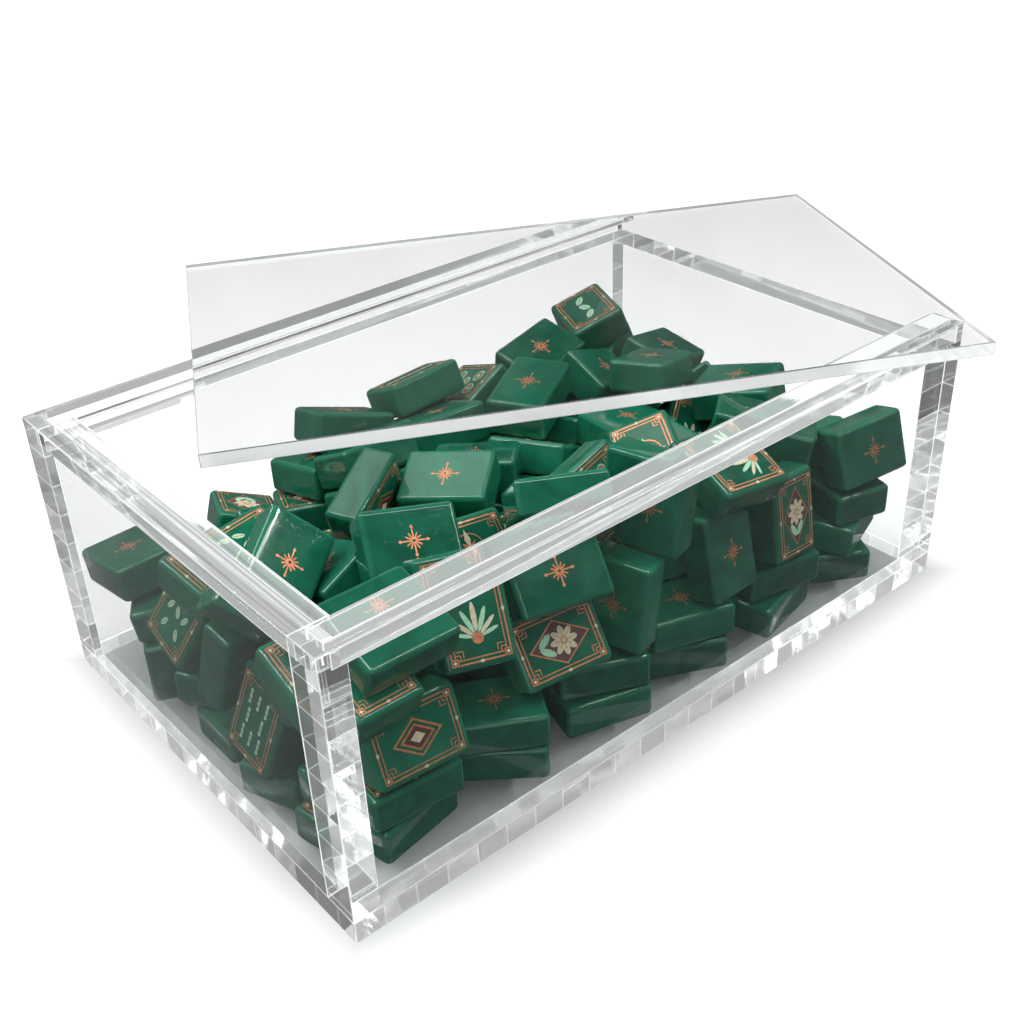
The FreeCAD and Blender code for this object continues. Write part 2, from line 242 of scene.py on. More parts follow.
@dataclass(frozen=True)
class ClearAcrylic(Finish):
    """Thick cast acrylic with polished faces, and edges that show the milling, with a painted glow that stands in
    for the light they pipe out, painted highlight lines and painted shade.

    Args:
        colour: What is left of white light in it.
        edge_colour: What is left of white light that crosses a cut edge.
        ior: Its index of refraction.
        sheen: How strongly its faces mirror, as a share of bare acrylic.
        shade: What is left of light that it casts a shadow in.
        polished: Roughness of the broad faces.
        satin: Roughness of the cut edges.
        painted_edge_glow: How bright the painted glow is that stands in for the light the level cut edges pipe out.
        painted_pane_glow: How bright the painted glow is that stands in for the light the stepped ends pipe out.
        painted_line_highlight: How bright the painted highlight line is on the broken edges and between the steps.
        step: The length of one step of the mill along an edge.
        tilt: How far one step may lean, as a slope.
        painted_pane_shade: What is left of white light in the darkest step; each step's grey is painted shade.
        painted_saw_shade: What is left of white light in a deep saw line, which is darkened with painted shade.
    """

    colour: tuple[float, float, float] = (0.985, 0.993, 0.99)
    edge_colour: tuple[float, float, float] = (0.86, 0.885, 0.88)
    ior: float = 1.49
    sheen: float = 0.15
    shade: tuple[float, float, float] = (0.93, 0.95, 0.945)
    polished: float = 0.0
    satin: float = 0.03
    painted_edge_glow: float = 0.22
    painted_pane_glow: float = 0.05
    painted_line_highlight: float = 0.35
    step: float = 11 * MM
    tilt: float = 0.08
    painted_pane_shade: float = 0.32
    painted_saw_shade: float = 0.3

    def mill_marks(self, nodes: NodeTree) -> tuple[Socket, Socket, Socket, Socket]:
        """The marks that the mill leaves along a cut edge.

        Args:
            nodes: The material's tree.

        Returns:
            The fine lines along the edge, the height of the leaning steps in metres, the tone of each step, and
            the thin seams between the steps.
        """
        grain = nodes.add("UVMap", uv_map="grain").outputs[0]
        along = nodes.add("Mapping", {"Vector": grain, "Scale": (5.0, 950.0, 1.0)})
        lines = nodes.add("TexNoise", {"Vector": along.outputs[0], "Scale": 1.0, "Detail": 2.0}).outputs[0]
        u, v, _ = nodes.add("SeparateXYZ", {0: grain}).outputs
        steps = nodes.math("DIVIDE", u, self.step)
        lean = nodes.add("TexWhiteNoise", {"W": nodes.math("FLOOR", steps)}, noise_dimensions="1D")
        lean_u, lean_v, tone = nodes.add("SeparateXYZ", {0: lean.outputs["Color"]}).outputs
        share = nodes.math("FRACT", steps)
        rise = nodes.math("MULTIPLY", nodes.math("SUBTRACT", lean_u, 0.5), nodes.math("MULTIPLY", share, self.step))
        roll = nodes.math("MULTIPLY", nodes.math("SUBTRACT", lean_v, 0.5), v)
        height = nodes.math("MULTIPLY", nodes.math("ADD", rise, roll), self.tilt * 2)
        seam = nodes.ramp(nodes.math("ABSOLUTE", nodes.math("SUBTRACT", share, 0.5)), 0.46, 0.49)
        return lines, height, tone, seam

    def surface(self, nodes: NodeTree) -> Socket:
        """Builds glass-clear acrylic that lets light through to what lies behind it.

        Args:
            nodes: The material's tree.

        Returns:
            The shader that covers the surface.
        """
        marks = nodes.add("Group", {"Smudge Size": 22.0, "Scratch Size": 40.0}, node_tree=handling_marks())
        cut, stepped, saw_shade_mask, arris = (nodes.add("Attribute", attribute_name=name).outputs["Fac"]
                                     for name in ("cut_edge", "stepped", "saw_shade_mask", "arris"))
        lines, steps, tone, seam = self.mill_marks(nodes)
        smear = nodes.math("MULTIPLY_ADD", marks.outputs["Smudge"], 0.006)
        smear.node.inputs[2].default_value = self.polished
        satin = nodes.ramp(lines, 0.3, 0.7, self.satin * 0.4, self.satin)
        rough = nodes.add("Mix", {"Factor": cut, 2: smear, 3: satin}).outputs[0]
        fine = nodes.math("MULTIPLY", nodes.math("MULTIPLY", lines, cut), 0.02 * MM)
        hairs = nodes.math("MULTIPLY", marks.outputs["Scratch"], 0.0006 * MM)
        height = nodes.math("ADD", nodes.math("ADD", fine, hairs), nodes.math("MULTIPLY", steps, stepped))
        bump = nodes.add("Bump", {"Strength": 1.0, "Distance": 1.0, "Height": height})
        # Painted shade: each step of the stepped ends gets its own grey, and the top edge's saw lines are darkened.
        pane = nodes.math("MULTIPLY", nodes.ramp(tone, 0.0, 1.0, 1.0 - self.painted_pane_shade, 0.06), stepped)
        painted_saw_lines = nodes.math("MULTIPLY", nodes.ramp(lines, 0.5, 0.58, 0.0, 1.0 - self.painted_saw_shade), saw_shade_mask)
        dark = nodes.math("MAXIMUM", pane, painted_saw_lines)
        clear = nodes.mix(cut, rgba(self.colour), rgba(self.edge_colour))
        colour = nodes.mix(dark, clear, rgba((0.0, 0.0, 0.0)))
        # Painted highlight lines on the broken edges and along the seams between the steps.
        bright = nodes.math("MAXIMUM", arris, nodes.math("MULTIPLY", seam, stepped))
        # Painted glow: the cut edges give out light as emission, though they are no lamp.
        glow = nodes.math("MULTIPLY", cut, nodes.ramp(stepped, 0.0, 1.0, self.painted_edge_glow, self.painted_pane_glow))
        painted_emission = nodes.add("Mix", {"Factor": bright, 2: glow, 3: self.painted_line_highlight}).outputs[0]
        shader = nodes.add("BsdfPrincipled", {
            "Base Color": colour, "Roughness": rough, "IOR": self.ior, "Metallic": 0.0,
            "Specular Tint": rgba((self.sheen, self.sheen, self.sheen)), "Transmission Weight": 1.0,
            "Normal": bump.outputs[0], "Emission Color": nodes.add("CombineColor", {0: painted_emission, 1: painted_emission, 2: painted_emission})
            .outputs[0], "Emission Strength": 1.0})
        path = nodes.add("LightPath").outputs
        passing = nodes.math("MAXIMUM", path["Is Shadow Ray"], path["Is Diffuse Ray"])
        through = nodes.add("BsdfTransparent", {"Color": rgba(self.shade)})
        return nodes.add("MixShader", {0: passing, 1: shader.outputs[0], 2: through.outputs[0]}).outputs[0]


@dataclass(frozen=True)
class TileResin(Finish):
    """Polished green resin, a little translucent, with a painted highlight along its rounded edges.

    Args:
        deep: The colour in the darkest drifts.
        bright: The colour in the lightest drifts.
        edge: The painted highlight colour along the rounded edges.
    """

    deep: tuple[float, float, float] = (0.004, 0.07, 0.039)
    bright: tuple[float, float, float] = (0.016, 0.195, 0.11)
    edge: tuple[float, float, float] = (0.03, 0.24, 0.14)

    def surface(self, nodes: NodeTree) -> Socket:
        """Builds the resin.

        Args:
            nodes: The material's tree.

        Returns:
            The shader that covers the surface.
        """
        marks = nodes.add("Group", {"Smudge Size": 55.0, "Scratch Size": 120.0}, node_tree=handling_marks())
        drift = nodes.add("Group", {"Size": 60.0, "Swirl": 2.0}, node_tree=drifting_tone()).outputs["Tone"]
        own = nodes.add("Attribute", attribute_name="tone").outputs["Fac"]
        tone = nodes.add("Mix", {"Factor": 0.35, 2: own, 3: drift}).outputs[0]
        body = nodes.mix(tone, rgba(self.deep), rgba(self.bright))
        # Painted highlight: the rounded edges are mixed towards a lighter colour.
        rim = nodes.add("Attribute", attribute_name="rim").outputs["Fac"]
        colour = nodes.mix(nodes.math("MULTIPLY", rim, 0.35), body, rgba(self.edge))
        rough = nodes.ramp(marks.outputs["Smudge"], 0.0, 1.0, 0.03, 0.08)
        bump = nodes.add("Bump", {"Strength": 0.08, "Distance": 0.05 * MM, "Height": marks.outputs["Scratch"]})
        shader = nodes.add("BsdfPrincipled", {
            "Base Color": colour, "Roughness": rough, "IOR": 1.53, "Normal": bump.outputs[0],
            "Specular IOR Level": 0.45, "Subsurface Weight": 0.2, "Subsurface Radius": (0.5, 1.0, 0.7),
            "Subsurface Scale": 2.0 * MM})
        return shader.outputs[0]


@dataclass(frozen=True)
class InlayInk(Finish):
    """Ink or foil set into a tile.

    Args:
        colour: The ink's colour.
        worn: Its colour where it is thin.
        metallic: Zero for ink, more for foil.
        roughness: How matt it is.
    """

    colour: tuple[float, float, float] = (0.5, 0.5, 0.5)
    worn: tuple[float, float, float] = (0.3, 0.3, 0.3)
    metallic: float = 0.0
    roughness: float = 0.4

    def surface(self, nodes: NodeTree) -> Socket:
        """Builds the ink.

        Args:
            nodes: The material's tree.

        Returns:
            The shader that covers the surface.
        """
        drift = nodes.add("Group", {"Size": 900.0, "Swirl": 0.5}, node_tree=drifting_tone()).outputs["Tone"]
        colour = nodes.mix(nodes.ramp(drift, 0.0, 1.0, 0.0, 0.55), rgba(self.colour), rgba(self.worn))
        rough = nodes.ramp(drift, 0.0, 1.0, self.roughness, self.roughness + 0.15)
        bump = nodes.add("Bump", {"Strength": 0.2, "Distance": 0.03 * MM, "Height": drift})
        shader = nodes.add("BsdfPrincipled", {"Base Color": colour, "Roughness": rough, "Normal": bump.outputs[0],
                                              "Metallic": self.metallic})
        return shader.outputs[0]


@dataclass(frozen=True)
class PaleFloor(Finish):
    """The plain pale sweep that the box stands on, with a painted glow away from the box and painted shade under it.

    Args:
        colour: Its colour.
        shade: Its colour right under the box, a painted shade.
        mirrored: Its colour, a painted shade, in the light that it throws back, and in what is mirrored behind
        clear sheets.
        sheen: Its colour as a painted reflection, where a polished face mirrors it at a flat angle, so far from
        the box.
        shaded: Half the length and half the width of the shade right under the box.
        painted_glow_near_box: The painted glow round the shade, which lifts the shadow near the box.
        glow: The painted glow that is added to it. Each entry adds its last number between two distances from
            the box's middle.
    """

    colour: tuple[float, float, float] = (0.62, 0.62, 0.62)
    shade: tuple[float, float, float] = (0.57, 0.565, 0.565)
    mirrored: tuple[float, float, float] = (0.1, 0.1, 0.1)
    sheen: tuple[float, float, float] = (0.85, 0.85, 0.85)
    shaded: tuple[float, float] = (0.131, 0.085)
    painted_glow_near_box: float = 0.5
    glow: tuple[tuple[float, float, float], ...] = ((0.2, 0.7, -0.16), (0.7, 2.4, 0.6))

    def surface(self, nodes: NodeTree) -> Socket:
        """Builds the matt paper, painted dim in the light that it throws back and where polished faces mirror it near
        the box, and painted bright where they mirror it far off.

        Args:
            nodes: The material's tree.

        Returns:
            The shader that covers the surface.
        """
        place = nodes.add("TexCoord").outputs["Object"]
        out = nodes.add("VectorMath", {0: place}, operation="LENGTH").outputs["Value"]
        x, y, _ = nodes.add("SeparateXYZ", {0: place}).outputs
        beside = [nodes.math("SUBTRACT", nodes.math("ABSOLUTE", way), half) for way, half in zip((x, y), self.shaded)]
        clear = nodes.ramp(nodes.math("MAXIMUM", *beside), -0.012, 0.02)
        # Painted glow round the box, which lifts the shadow near it; there is none under the box.
        rises = [nodes.math("MULTIPLY", clear, self.painted_glow_near_box)]
        rises += [nodes.ramp(out, start, end, 0.0, change) for start, end, change in self.glow]
        glow = functools.reduce(functools.partial(nodes.math, "ADD"), rises)
        drift = nodes.add("Group", {"Size": 3.0, "Swirl": 0.0}, node_tree=drifting_tone()).outputs["Tone"]
        faint = tuple(0.985 * part for part in self.colour)
        lit_paper = nodes.mix(drift, rgba(self.colour), rgba(faint))
        # Painted shade: the paper under the box takes the darker shade colour.
        paper = nodes.mix(clear, rgba(self.shade), lit_paper)
        path = nodes.add("LightPath").outputs
        # Painted dim reflections: bounced and mirrored rays see the dark mirrored colour.
        second = nodes.math("MAXIMUM", path["Glossy Depth"], path["Is Diffuse Ray"])
        second = nodes.math("MINIMUM", second, 1.0)
        dimmed = nodes.mix(second, paper, rgba(self.mirrored))
        # Painted reflection: polished faces that mirror the floor far off see the bright sheen colour.
        far = nodes.mix(nodes.ramp(out, 0.5, 1.3), rgba(self.mirrored), rgba(self.sheen))
        plainly = nodes.math("SUBTRACT", path["Is Glossy Ray"], path["Is Transmission Ray"])
        shader = nodes.add("BsdfPrincipled", {
            "Base Color": nodes.mix(plainly, dimmed, far), "Roughness": 0.65,
            "Specular IOR Level": 0.2, "Emission Color": rgba((1.0, 1.0, 1.0)),
            "Emission Strength": nodes.math("MULTIPLY", nodes.math("SUBTRACT", 1.0, second), glow)})
        return shader.outputs[0]


class Ink(IntEnum):
    """The material slots of a tile, in order."""

    RESIN = 0
    COPPER = 1
    MINT = 2
    CREAM = 3
    UMBER = 4


TILE_FINISHES: dict[Ink, Finish] = {
    Ink.RESIN: TileResin("emerald_resin"),
    Ink.COPPER: InlayInk("copper_foil", (0.70, 0.27, 0.13), (0.42, 0.14, 0.07), 0.55, 0.34),
    Ink.MINT: InlayInk("mint_ink", (0.46, 0.80, 0.55), (0.30, 0.60, 0.40), 0.0, 0.38),
    Ink.CREAM: InlayInk("cream_ink", (0.80, 0.72, 0.52), (0.60, 0.52, 0.34), 0.0, 0.38),
    Ink.UMBER: InlayInk("umber_ink", (0.085, 0.032, 0.028), (0.05, 0.03, 0.025), 0.0, 0.4),
}


def link_piece(bm: bmesh.types.BMesh, name: str, finishes: list[Finish]) -> bpy.types.Object:
    """Turns a finished bmesh into an object at the origin.

    Args:
        bm: The mesh, which is freed.
        name: The piece's name.
        finishes: The finish of each material slot.

    Returns:
        The new object.
    """
    mesh = bpy.data.meshes.new(name)
    bm.to_mesh(mesh)
    bm.free()
    for finish in finishes:
        mesh.materials.append(finish.material())
    piece = bpy.data.objects.new(name, mesh)
    bpy.context.scene.collection.objects.link(piece)
    even = piece.modifiers.new("even_faces", "WEIGHTED_NORMAL")
    even.mode = "FACE_AREA"
    even.keep_sharp = True
    return piece


def merged_solid(node: str) -> bmesh.types.BMesh:
    """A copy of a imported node's mesh with its loose triangles joined into whole flat faces.

    Args:
        node: The node's name.

    Returns:
        The merged copy.
    """
    bm = bmesh.new()
    bm.from_mesh(frame["nodes"][node].data)
    bmesh.ops.remove_doubles(bm, verts=bm.verts, dist=MERGE)
    bmesh.ops.dissolve_limit(bm, angle_limit=FLAT_ANGLE, verts=bm.verts, edges=bm.edges)
    return bm


@dataclass
class ClearSheet:
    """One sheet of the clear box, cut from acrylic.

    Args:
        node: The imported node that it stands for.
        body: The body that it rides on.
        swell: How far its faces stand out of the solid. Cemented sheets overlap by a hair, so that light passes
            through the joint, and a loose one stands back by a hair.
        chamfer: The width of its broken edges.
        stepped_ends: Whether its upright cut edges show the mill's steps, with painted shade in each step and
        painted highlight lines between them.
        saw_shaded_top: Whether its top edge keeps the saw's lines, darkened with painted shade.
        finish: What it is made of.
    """

    node: str
    body: str = "box"
    swell: float = 0.012 * MM
    chamfer: float = 0.35 * MM
    stepped_ends: bool = True
    saw_shaded_top: bool = False
    finish: Finish = field(default_factory=lambda: ClearAcrylic("polished_acrylic"))

    def build(self) -> bpy.types.Object:
        """Makes the sheet's mesh and hangs it on its body.

        Returns:
            The finished piece.
        """
        bm = merged_solid(self.node)
        bm.normal_update()
        moves = [vert.normal * vert.calc_shell_factor() * self.swell for vert in bm.verts]
        for vert, move in zip(bm.verts, moves):
            vert.co += move
        # The broken edges carry the acrylic's painted highlight line.
        arris = bm.faces.layers.float.new("arris")
        broken = bmesh.ops.bevel(bm, geom=bm.edges[:], offset=self.chamfer, offset_type="OFFSET", segments=2,
                                 profile=0.5, affect="EDGES", material=-1, clamp_overlap=True)
        for face in broken["faces"]:
            face[arris] = 1.0
        self.mark_edges(bm)
        piece = link_piece(bm, f"{self.node}_sheet", [self.finish])
        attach(piece, self.body)
        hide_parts(self.node)
        return piece

    def mark_edges(self, bm: bmesh.types.BMesh) -> None:
        """Marks the cut edges that get painted glow, and the stepped ends and top edge that get painted shade, and
        lays the saw's grain along every face.

        Args:
            bm: The sheet's mesh.
        """
        low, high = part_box(self.node)
        thin = min(range(3), key=lambda axis: high[axis] - low[axis])
        cut, stepped, saw_shade_mask = (bm.faces.layers.float.new(name) for name in ("cut_edge", "stepped", "saw_shade_mask"))
        grain = bm.loops.layers.uv.new("grain")
        bm.normal_update()
        for face in bm.faces:
            face.smooth = True
            is_cut = abs(face.normal[thin]) < 0.5
            face[cut] = float(is_cut)
            face[stepped] = float(is_cut and self.stepped_ends and abs(face.normal.z) < 0.5)
            face[saw_shade_mask] = float(is_cut and self.saw_shaded_top and face.normal.z > 0.9)
            along = max(face.edges, key=lambda edge: edge.calc_length())
            way = (along.verts[1].co - along.verts[0].co).normalized()
            across = face.normal.cross(way)
            for loop in face.loops:
                loop[grain].uv = (loop.vert.co.dot(way), loop.vert.co.dot(across))


@dataclass(frozen=True)
class TilePlace:
    """Where one tile lies, read from its solid.

    Args:
        centre: Its middle.
        along: The way of its length.
        broad: The way that one of its broad sides faces.
        size: Its length, width and thickness.
    """

    centre: Vector
    along: Vector
    broad: Vector
    size: Vector


def islands(bm: bmesh.types.BMesh) -> Iterator[list[bmesh.types.BMFace]]:
    """Walks over the separate solids of a mesh.

    Args:
        bm: A merged mesh.

    Yields:
        The faces of each solid.
    """
    left = set(bm.faces)
    while left:
        found = [left.pop()]
        for face in found:
            for edge in face.edges:
                beside = [other for other in edge.link_faces if other in left]
                left.difference_update(beside)
                found.extend(beside)
        yield found


def tile_places(node: str) -> list[TilePlace]:
    """Reads the place of each tile from its flat sides, of which the two broad ones are the largest.

    Args:
        node: A node that holds one or more tiles.

    Returns:
        The places, from left to right.
    """
    bm = merged_solid(node)
    places = []
    for faces in islands(bm):
        sides = sorted(faces, key=lambda face: face.calc_area(), reverse=True)
        broad = sides[0].normal.copy()
        across = sides[2].normal.copy()
        along = across.cross(broad).normalized()
        verts = {vert for face in faces for vert in face.verts}
        spans = []
        middle = Vector()
        for way in (along, across, broad):
            reach = [vert.co.dot(way) for vert in verts]
            spans.append(max(reach) - min(reach))
            middle += way * (max(reach) + min(reach)) / 2
        places.append(TilePlace(middle, along, broad, Vector(spans)))
    bm.free()
    return sorted(places, key=lambda place: tuple(place.centre))


class Side(Enum):
    """The two broad sides of a tile, by the turn that brings each on top."""

    FACE = 0.0
    BACK = math.pi


@dataclass
class InlayPen:
    """Sets thin closed shapes into one broad side of a tile. Up the tile is +X, across it is Y.

    Args:
        bm: The tile's mesh.
        side: The side that is worked on.
        height: Half the tile's thickness.
        depth: How deep an inlay is set.
        proud: How far each layer stands out of the one below it.
    """

    bm: bmesh.types.BMesh
    side: Side
    height: float
    depth: float = 0.3 * MM
    proud: float = 0.025 * MM

    def place(self, x: float, y: float, turn: float, layer: int) -> Matrix:
        """The matrix that puts a shape of the inlay's depth on the side.

        Args:
            x: How far up the tile.
            y: How far across the tile.
            turn: The shape's turn, in radians.
            layer: How many layers lie below it.

        Returns:
            The shape's matrix.
        """
        top = self.height + self.proud * (layer + 1)
        flip = Matrix.Rotation(self.side.value, 4, "X")
        return flip @ Matrix.Translation((x, y, top - self.depth / 2)) @ Matrix.Rotation(turn, 4, "Z")

    def paint(self, verts: list[bmesh.types.BMVert], ink: Ink) -> None:
        """Gives the faces of a new shape their ink."""
        for face in {face for vert in verts for face in vert.link_faces}:
            face.material_index = ink

    def bar(self, start: tuple[float, float], end: tuple[float, float], width: float, ink: Ink,
            layer: int = 0) -> None:
        """A straight line between two points.

        Args:
            start: Where the line starts.
            end: Where the line ends.
            width: The line's width.
            ink: Its ink.
            layer: How many layers lie below it.
        """
        run = Vector(end) - Vector(start)
        middle = (Vector(start) + Vector(end)) / 2
        place = self.place(middle.x, middle.y, math.atan2(run.y, run.x), layer)
        size = Matrix.Diagonal((run.length, width, self.depth, 1.0))
        self.paint(bmesh.ops.create_cube(self.bm, size=1.0, matrix=place @ size)["verts"], ink)

    def disc(self, middle: tuple[float, float], radius: float, ink: Ink, layer: int = 0, stretch: float = 1.0,
             turn: float = 0.0, sides: int = 16) -> None:
        """A disc, an oval petal or, with four sides, a lozenge.

        Args:
            middle: Its middle.
            radius: Its radius along its length.
            ink: Its ink.
            layer: How many layers lie below it.
            stretch: Its width as a share of its length.
            turn: The turn of its length from straight up, in radians.
            sides: How many sides it has.
        """
        place = self.place(*middle, turn, layer) @ Matrix.Diagonal((1.0, stretch, 1.0, 1.0))
        made = bmesh.ops.create_cone(self.bm, cap_ends=True, segments=sides, radius1=radius, radius2=radius,
                                     depth=self.depth, matrix=place)
        self.paint(made["verts"], ink)

    def box(self, half_long: float, half_wide: float, width: float, ink: Ink, middle: tuple[float, float] = (0, 0),
            layer: int = 0) -> None:
        """A rectangle of four lines.

        Args:
            half_long: Half its height, up the tile.
            half_wide: Half its width.
            width: The lines' width.
            ink: Their ink.
            middle: The rectangle's middle.
            layer: How many layers lie below it.
        """
        x, y = middle
        for sign in (-1, 1):
            for start, end in (((-half_long, sign * half_wide), (half_long, sign * half_wide)),
                               ((sign * half_long, -half_wide), (sign * half_long, half_wide))):
                self.bar((x + start[0], y + start[1]), (x + end[0], y + end[1]), width, ink, layer)


PIP_ROWS = {1: (1,), 2: (1, 1), 3: (1, 1, 1), 4: (2, 2), 5: (2, 1, 2), 6: (2, 2, 2), 7: (2, 3, 2), 8: (3, 2, 3),
            9: (3, 3, 3)}


@dataclass
class TileArt:
    """The inlaid marks of a tile's two sides.

    Args:
        line: The width of a thin line.
        margin: How far the outer frame stands in from the tile's edge.
        frame_gap: How far the inner frame stands in from the outer one.
        field_long: Half the height that the marks may take.
        field_wide: Half the width that the marks may take.
    """

    line: float = 0.46 * MM
    margin: float = 2.2 * MM
    frame_gap: float = 1.2 * MM
    field_long: float = 9.6 * MM
    field_wide: float = 6.2 * MM

    def pips(self, rank: int) -> list[tuple[float, float, float]]:
        """Spreads a rank's marks over the field.

        Args:
            rank: How many marks there are.

        Returns:
            The place of each mark and the radius that it has room for.
        """
        rows = PIP_ROWS[rank]
        step = 2 * self.field_long / len(rows)
        radius = min(step, 2 * self.field_wide / max(rows)) * 0.45
        marks = []
        for row, count in enumerate(rows):
            x = self.field_long - step * (row + 0.5)
            for column in range(count):
                y = self.field_wide * (2 * column + 1 - count) / max(count, 2) * (1.0 if count > 2 else 1.1)
                marks.append((x, y, radius))
        return marks

    def border(self, pen: InlayPen, size: Vector) -> None:
        """The copper frame with square corner blocks.

        Args:
            pen: The pen on the tile's face.
            size: The tile's size.
        """
        outer = Vector((size.x / 2 - self.margin, size.y / 2 - self.margin))
        inner = outer - Vector((self.frame_gap, self.frame_gap))
        pen.box(outer.x, outer.y, self.line, Ink.COPPER)
        pen.box(inner.x, inner.y, self.line * 0.7, Ink.COPPER)
        block = self.frame_gap * 0.75
        for x in (-1, 1):
            for y in (-1, 1):
                corner = Vector(((outer.x - block) * x, (outer.y - block) * y))
                pen.disc(corner, block * 1.9, Ink.RESIN, 1, 1.0, math.pi / 4, 4)
                pen.box(block, block, self.line * 0.8, Ink.COPPER, corner, 2)
                pen.disc(corner, block * 0.68, Ink.CREAM, 2, 1.0, 0.0, 4)
                for reach in (2.6, 3.7):
                    bend = corner - Vector((x, y)) * block * (reach - 0.6)
                    pen.bar(bend, bend + Vector((x * block * reach * 0.55, 0)), self.line * 0.6, Ink.COPPER)
                    pen.bar(bend, bend + Vector((0, y * block * reach * 0.55)), self.line * 0.6, Ink.COPPER)
            pen.disc((0, outer.y * x), self.line * 1.9, Ink.CREAM, 3, 0.6, 0.0, 4)
            pen.disc((outer.x * x, 0), self.line * 1.9, Ink.CREAM, 3, 0.6, math.pi / 2, 4)

    def dots(self, pen: InlayPen, rank: int) -> None:
        """Ringed dots, one for each of the rank."""
        for x, y, radius in self.pips(rank):
            for layer, (share, ink) in enumerate(((1.0, Ink.MINT), (0.8, Ink.RESIN), (0.66, Ink.COPPER),
                                                  (0.46, Ink.RESIN), (0.28, Ink.CREAM))):
                pen.disc((x, y), radius * share, ink, layer)

    def canes(self, pen: InlayPen, rank: int) -> None:
        """Jointed canes, one for each of the rank."""
        for x, y, radius in self.pips(rank):
            half = min(radius * 1.25, 3.6 * MM) if rank > 1 else 7 * MM
            pen.bar((x - half * 0.85, y), (x + half * 0.85, y), radius * 0.42, Ink.CREAM)
            for share in (-0.85, 0.0, 0.85):
                pen.disc((x + half * share, y), radius * 0.36, Ink.MINT, 1, 0.9, 0.0, 8)
            pen.bar((x - half * 0.7, y), (x + half * 0.7, y), self.line * 0.6, Ink.UMBER, 1)

    def leaves(self, pen: InlayPen, rank: int) -> None:
        """Slanted leaves, one for each of the rank."""
        for index, (x, y, radius) in enumerate(self.pips(rank)):
            turn = math.radians(28 if index % 2 else -28)
            rib = Vector((math.cos(turn), math.sin(turn))) * radius * 0.9
            pen.disc((x, y), radius * 1.08, Ink.MINT, 0, 0.48, turn, 10)
            pen.bar((x - rib.x, y - rib.y), (x + rib.x, y + rib.y), self.line * 0.7, Ink.COPPER, 1)

    def compass(self, pen: InlayPen, point: int) -> None:
        """A compass star with one pale point.

        Args:
            pen: The pen on the tile's face.
            point: Which of the four points is pale.
        """
        pen.disc((0, 0), 5.2 * MM, Ink.COPPER, 0, 1.0, 0.0, 24)
        pen.disc((0, 0), 4.8 * MM, Ink.RESIN, 1, 1.0, 0.0, 24)
        for arm in range(8):
            turn = arm * math.pi / 4
            reach = (6.4 if arm % 2 == 0 else 3.6) * MM
            ink = Ink.CREAM if arm == 2 * point else (Ink.MINT if arm % 2 == 0 else Ink.COPPER)
            middle = (math.cos(turn) * reach / 2, math.sin(turn) * reach / 2)
            pen.disc(middle, reach / 2, ink, 2 + arm % 2, 0.34, turn, 4)
        pen.disc((0, 0), 0.8 * MM, Ink.UMBER, 4, 1.0, 0.0, 12)

    def rosette(self, pen: InlayPen, petals: int, middle: tuple[float, float], reach: float, ink: Ink) -> None:
        """A round flower.

        Args:
            pen: The pen on the tile's face.
            petals: How many petals it has.
            middle: Its middle.
            reach: Its radius.
            ink: The petals' ink.
        """
        x, y = middle
        for petal in range(petals):
            turn = 2 * math.pi * petal / petals
            far = reach * 0.58
            spot = (x + math.cos(turn) * far, y + math.sin(turn) * far)
            pen.disc(spot, reach * 0.42, ink, 3 + petal % 2, min(0.9, 4.2 / petals), turn, 10)
            pen.bar((x, y), spot, self.line * 0.5, Ink.COPPER, 5)
        pen.disc(middle, reach * 0.26, Ink.COPPER, 6, 1.0, 0.0, 14)
        pen.disc(middle, reach * 0.15, Ink.CREAM if ink is Ink.MINT else Ink.MINT, 7, 1.0, 0.0, 12)

    def season(self, pen: InlayPen) -> None:
        """A cream rosette over two leaves on a dark lozenge."""
        pen.disc((0, 0), 10.4 * MM, Ink.COPPER, 0, 0.66, 0.0, 4)
        pen.disc((0, 0), 9.7 * MM, Ink.UMBER, 1, 0.66, 0.0, 4)
        for sign in (-1, 1):
            pen.disc((-4.6 * MM, sign * 1.7 * MM), 2.8 * MM, Ink.MINT, 2, 0.4, sign * 0.6, 10)
        self.rosette(pen, 8, (1.4 * MM, 0), 4.6 * MM, Ink.CREAM)

    def flower(self, pen: InlayPen, rank: int) -> None:
        """A mint rosette whose petals grow with its rank, over a row of small marks."""
        self.rosette(pen, 4 + rank, (2.2 * MM, 0), 5.4 * MM, Ink.MINT)
        pen.bar((-4.4 * MM, -5 * MM), (-4.4 * MM, 5 * MM), self.line, Ink.COPPER)
        for mark in range(rank):
            pen.disc((-6.6 * MM, (mark - (rank - 1) / 2) * 2.4 * MM), 0.85 * MM, Ink.CREAM, 0, 1.0, 0.0, 4)

